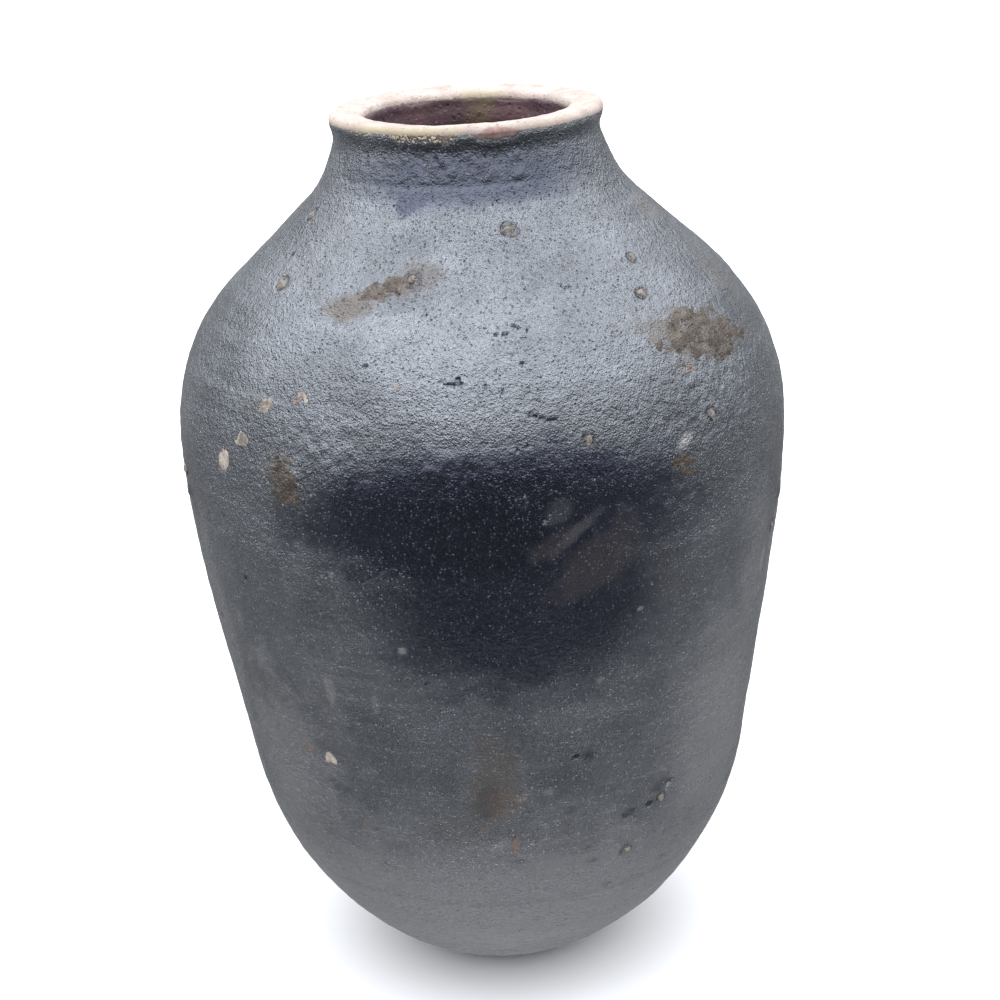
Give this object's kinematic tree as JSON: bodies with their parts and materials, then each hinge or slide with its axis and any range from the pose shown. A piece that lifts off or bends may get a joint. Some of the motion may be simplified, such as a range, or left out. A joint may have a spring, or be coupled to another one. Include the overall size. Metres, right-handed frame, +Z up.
{
  "type": "black clay pot",
  "caption": "Round-bellied hand-built clay pot with a short neck, a thick bare lip, a hollow inside and a small foot, coated black outside.",
  "frame": {"origin": "centre of the foot, on the surface that the pot stands on", "axes": "+Z up along the pot's axis; the front faces -Y"},
  "size_m": [0.2719, 0.272, 0.4],
  "materials": {
    "fired_clay": "matt fired clay body",
    "bare_lip": "bare pale clay, worn smooth",
    "black_coat": "burnished black, satin, with a sandy grain",
    "inner_slip": "thin maroon-brown wash, matt",
    "temper_stone": "rounded dark grit",
    "earth": "rough baked-on brown earth",
    "lime": "chalky cream bloom",
    "ochre": "yellow ochre earth"
  },
  "bodies": {
    "root": {"foot_bowl": "fired_clay", "lower_wall": "fired_clay", "belly_wall": "fired_clay", "shoulder_wall": "fired_clay", "neck_collar": "fired_clay", "rim_coil": "bare_lip", "black_coat": "black_coat", "inner_slip": "inner_slip", "temper_stones": "temper_stone", "earth_crusts": "earth", "lime_spots": "lime", "ochre_crumbs": "ochre"}
  },
  "joints": []
}
